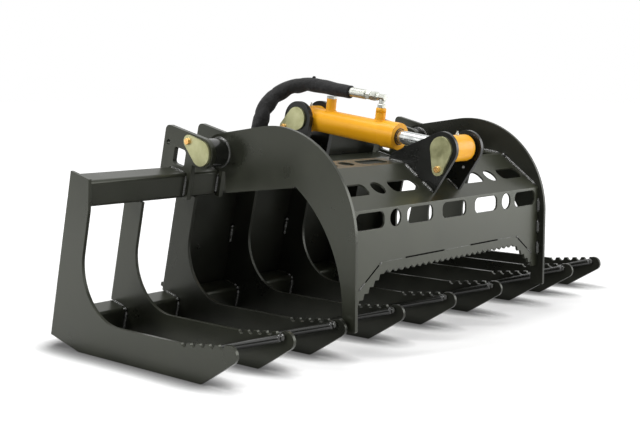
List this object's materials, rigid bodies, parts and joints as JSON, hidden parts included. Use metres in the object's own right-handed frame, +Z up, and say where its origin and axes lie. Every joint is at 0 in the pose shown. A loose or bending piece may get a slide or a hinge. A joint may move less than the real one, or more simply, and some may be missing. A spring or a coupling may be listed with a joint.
{
  "type": "mini skid steer grapple",
  "caption": "Black root grapple for a mini skid steer, with serrated plate tines, a perforated saw-toothed clamp and one orange hydraulic cylinder.",
  "frame": {"origin": "on the ground, in the middle of the flat underside of the centre tine", "axes": "+X across the grapple, +Y from the tine tips towards the loader, +Z up"},
  "size_m": [1.524, 0.7114, 0.632],
  "materials": {
    "dark_coat": "gloss",
    "cylinder_paint": "gloss",
    "flag_plating": "satin",
    "bolt_plating": "satin",
    "fitting": "satin",
    "chrome_rod": "polished",
    "piston_steel": "satin",
    "seal": "matte",
    "sleeve": "matte"
  },
  "bodies": {
    "frame": {"tine_1": "dark_coat", "tine_2": "dark_coat", "tine_3": "dark_coat", "tine_4": "dark_coat", "tine_5": "dark_coat", "tine_6": "dark_coat", "tine_7": "dark_coat", "tine_8": "dark_coat", "tine_9": "dark_coat", "tip_rods_1": "dark_coat", "tip_rods_2": "dark_coat", "tip_rods_3": "dark_coat", "tip_rods_4": "dark_coat", "tip_rods_5": "dark_coat", "tip_rods_6": "dark_coat", "tip_rods_7": "dark_coat", "tip_rods_8": "dark_coat", "tip_rods_9": "dark_coat", "lower_tube": "dark_coat", "top_tube": "dark_coat", "mount_plate": "dark_coat", "pivot_ear_1": "dark_coat", "pivot_ear_2": "dark_coat", "pivot_ear_3": "dark_coat", "pivot_ear_4": "dark_coat", "base_ear_left": "dark_coat", "base_ear_right": "dark_coat", "clamp_pin_left": "flag_plating", "clamp_pin_right": "flag_plating", "base_pin_flagged": "flag_plating", "clamp_bolt_left": "bolt_plating", "clamp_bolt_right": "bolt_plating", "base_bolt": "bolt_plating", "hose_bracket": "dark_coat", "bulkhead_fitting": "fitting"},
    "clamp": {"clamp_arm_left": "dark_coat", "clamp_arm_right": "dark_coat", "clamp_hub_left": "dark_coat", "clamp_hub_right": "dark_coat", "clamp_sheet": "dark_coat", "saw_blade": "dark_coat", "clevis_ear_left": "dark_coat", "clevis_ear_right": "dark_coat", "rod_pin_flagged": "flag_plating", "rod_bolt": "bolt_plating"},
    "barrel": {"base_eye": "cylinder_paint", "barrel": "cylinder_paint", "gland": "cylinder_paint", "rod_wiper": "seal", "rear_port": "cylinder_paint", "front_port": "cylinder_paint", "rear_fitting": "fitting", "elbow_fitting": "fitting", "hose_ferrule": "fitting", "base_zerk": "fitting", "hose_sleeve": "sleeve"},
    "rod": {"piston_rod": "chrome_rod", "piston": "piston_steel", "rod_eye": "cylinder_paint", "rod_zerk": "fitting"}
  },
  "joints": [
    {"name": "clamp_pivot", "type": "hinge", "parent": "frame", "child": "clamp", "pos_m": [0, 0.10404, 0.44813], "axis": [-1, 0, 0], "range_deg": [0, 60]},
    {"name": "barrel_swing", "type": "hinge", "parent": "frame", "child": "barrel", "pos_m": [0, 0.17687, 0.52095], "axis": [-1, 0, 0], "range_deg": [0, 53.3], "deforming": ["hose_sleeve"]},
    {"name": "rod_slide", "type": "slide", "parent": "barrel", "child": "rod", "axis": [0, -0.9911, -0.1331], "range_m": [-0.0895, 0]}
  ],
  "couplings": [
    {"joint": "barrel_swing", "follows": "clamp_pivot", "ratio": 0.8875},
    {"joint": "rod_slide", "follows": "clamp_pivot", "m_per_rad": -0.08537}
  ]
}
